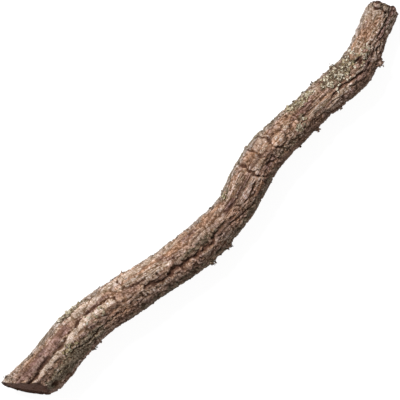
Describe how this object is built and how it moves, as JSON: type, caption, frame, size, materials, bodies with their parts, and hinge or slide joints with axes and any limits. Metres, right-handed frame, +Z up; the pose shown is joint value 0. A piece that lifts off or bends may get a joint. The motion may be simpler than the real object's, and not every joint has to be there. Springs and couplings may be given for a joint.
{
  "type": "fallen tree branch",
  "caption": "Fallen tree branch with rough furrowed bark and gentle bends, a slanting face at its thick end, a broken thin end and thin patches of lichen. It lies on the ground.",
  "frame": {"origin": "on the ground, under the middle of the branch's box", "axes": "+X along the branch from its slanting thick end to its broken thin end, +Y across it, +Z up from the ground"},
  "size_m": [0.5986, 0.082, 0.0517],
  "materials": {
    "bark": "dry grey-brown furrowed bark with pinkish ridges and dark cracks, matt",
    "lichen": "dry crusty lichen, pale grey-green and partly yellow-green, matt"
  },
  "bodies": {
    "root": {"branch": "bark", "lichen_low_ridge": "lichen", "lichen_low_side": "lichen", "lichen_long_ridge": "lichen", "lichen_crook": "lichen", "lichen_bend_top": "lichen", "lichen_bend_side": "lichen", "lichen_bend_yellow": "lichen", "lichen_bend_large": "lichen", "lichen_tip": "lichen"}
  },
  "joints": []
}
